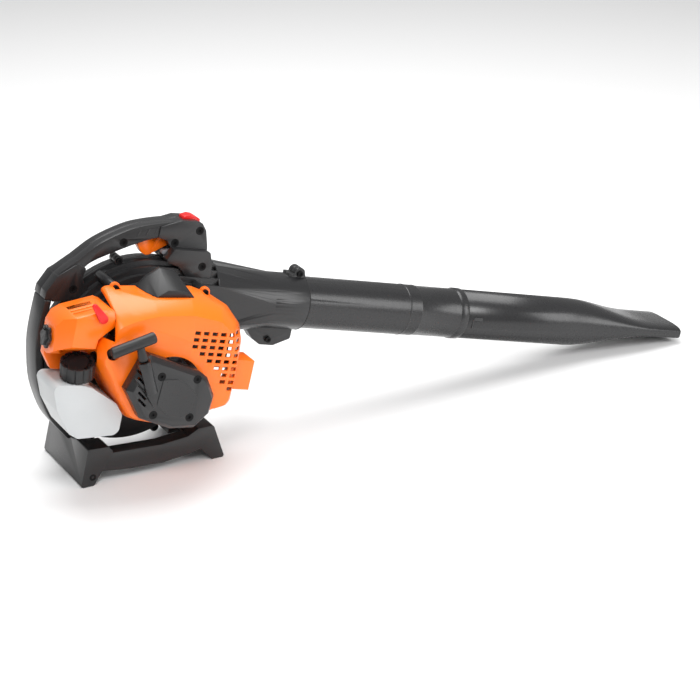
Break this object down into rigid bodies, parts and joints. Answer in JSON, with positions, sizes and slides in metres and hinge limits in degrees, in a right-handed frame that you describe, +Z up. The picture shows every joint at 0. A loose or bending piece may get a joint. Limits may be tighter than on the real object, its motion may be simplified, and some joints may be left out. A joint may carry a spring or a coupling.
{
  "type": "leaf blower",
  "caption": "Hand-held petrol leaf blower with a scroll fan case, two-stroke engine, loop handle, stand, straight tube and flattened blowing nozzle.",
  "frame": {"origin": "centre of the rear foot's ground face, in the mid-plane of the handle and tubes", "axes": "+X forward along the tubes, +Y to the machine's left, away from the engine, +Z up"},
  "size_m": [1.012, 0.2155, 0.3179],
  "materials": {
    "orange": "glossy orange moulded plastic",
    "dark": "dark grey moulded plastic",
    "black": "black moulded plastic",
    "rubber": "black rubber",
    "red": "red moulded plastic",
    "grey": "mid grey moulded plastic",
    "milk": "milky translucent plastic",
    "steel": "zinc-plated steel",
    "alloy": "cast alloy",
    "heat": "heat-stained pressed steel",
    "ceramic": "glazed ceramic",
    "felt": "pleated filter felt"
  },
  "bodies": {
    "housing": {"stand": "dark", "stand_pads": "rubber", "fan_case_near": "dark", "fan_case_far": "dark", "case_screws": "steel", "intake_guard": "dark", "guard_screws": "steel", "duct_clamp_screw": "steel", "straight_tube": "dark", "handle_near": "dark", "handle_far": "dark", "handle_screws": "steel", "rear_band": "dark", "trigger_pin": "steel", "crankcase": "alloy", "crankcase_gasket": "rubber", "engine_bolts": "steel", "bearing_near": "steel", "bearing_far": "steel", "cylinder": "alloy", "ignition_coil": "black", "spark_plug": "ceramic", "plug_boot": "rubber", "plug_cap": "black", "exhaust_gasket": "steel", "muffler": "heat", "intake_spacer": "black", "carburettor": "alloy", "filter_base": "black", "air_filter": "felt", "air_cleaner_cover": "orange", "shroud": "orange", "shroud_screws": "steel", "starter_cover": "dark", "starter_screws": "steel", "recoil_spring": "steel", "fuel_tank": "milk", "tank_mounts": "rubber"},
    "rotor": {"crankshaft": "steel", "flywheel": "alloy", "flywheel_nut": "steel", "impeller": "black", "impeller_nut": "steel"},
    "piston": {"piston": "alloy", "piston_rings": "steel"},
    "nozzle": {"nozzle": "dark"},
    "trigger": {"trigger": "orange"},
    "stop_switch": {"stop_switch": "red"},
    "throttle_lock": {"throttle_lock": "grey"},
    "choke_lever": {"choke_lever": "red"},
    "fuel_cap": {"fuel_cap": "black"},
    "cover_knob": {"cover_knob": "black"},
    "primer_bulb": {"primer_bulb": "rubber"},
    "starter_pulley": {"starter_pulley": "black"},
    "starter_handle": {"starter_handle": "dark"}
  },
  "joints": [
    {"name": "rotor_spin", "type": "hinge", "parent": "housing", "child": "rotor", "pos_m": [0.094, 0, 0.137], "axis": [0, 1, 0], "continuous": true},
    {"name": "piston_slide", "type": "slide", "parent": "housing", "child": "piston", "axis": [0.2504, 0, 0.9681], "range_m": [-0.014, 0.014]},
    {"name": "nozzle_twist", "type": "hinge", "parent": "housing", "child": "nozzle", "pos_m": [0.59189, 0, 0.1012], "axis": [0.9681, 0, -0.2504], "range_deg": [0, 60]},
    {"name": "trigger_pull", "type": "hinge", "parent": "housing", "child": "trigger", "pos_m": [0.14578, 0, 0.30127], "axis": [0, 1, 0], "range_deg": [0, 19], "stiffness_Nm_per_rad": 0.25, "springref_deg": -14.32},
    {"name": "stop_rock", "type": "hinge", "parent": "housing", "child": "stop_switch", "pos_m": [0.18659, 0, 0.3093], "axis": [0, 1, 0], "range_deg": [-5, 5]},
    {"name": "throttle_lock_turn", "type": "hinge", "parent": "housing", "child": "throttle_lock", "pos_m": [0.15648, -0.0125, 0.27474], "axis": [0, 1, 0], "range_deg": [-12, 8]},
    {"name": "choke_turn", "type": "hinge", "parent": "housing", "child": "choke_lever", "pos_m": [0.01485, -0.118, 0.2463], "axis": [0, 1, 0], "range_deg": [0, 60]},
    {"name": "fuel_cap_turn", "type": "hinge", "parent": "housing", "child": "fuel_cap", "pos_m": [-0.01568, -0.098, 0.1602], "axis": [0, -0.225, 0.9744], "range_deg": [0, 270]},
    {"name": "cover_knob_turn", "type": "hinge", "parent": "housing", "child": "cover_knob", "pos_m": [-0.04286, -0.077, 0.21887], "axis": [-0.9681, 0, 0.2504], "range_deg": [0, 360]},
    {"name": "primer_press", "type": "slide", "parent": "housing", "child": "primer_bulb", "axis": [0, 1, 0], "range_m": [0, 0.004], "stiffness_N_per_m": 600, "springref_m": -0.001},
    {"name": "starter_pull", "type": "slide", "parent": "housing", "child": "starter_handle", "axis": [-0.1822, 0, 0.9833], "range_m": [0, 0.6], "stiffness_N_per_m": 6, "springref_m": -0.5},
    {"name": "pulley_turn", "type": "hinge", "parent": "housing", "child": "starter_pulley", "pos_m": [0.094, -0.13, 0.137], "axis": [0, 1, 0], "range_deg": [0, 1500]}
  ],
  "couplings": [
    {"joint": "pulley_turn", "follows": "starter_pull", "rad_per_m": 43.478}
  ]
}
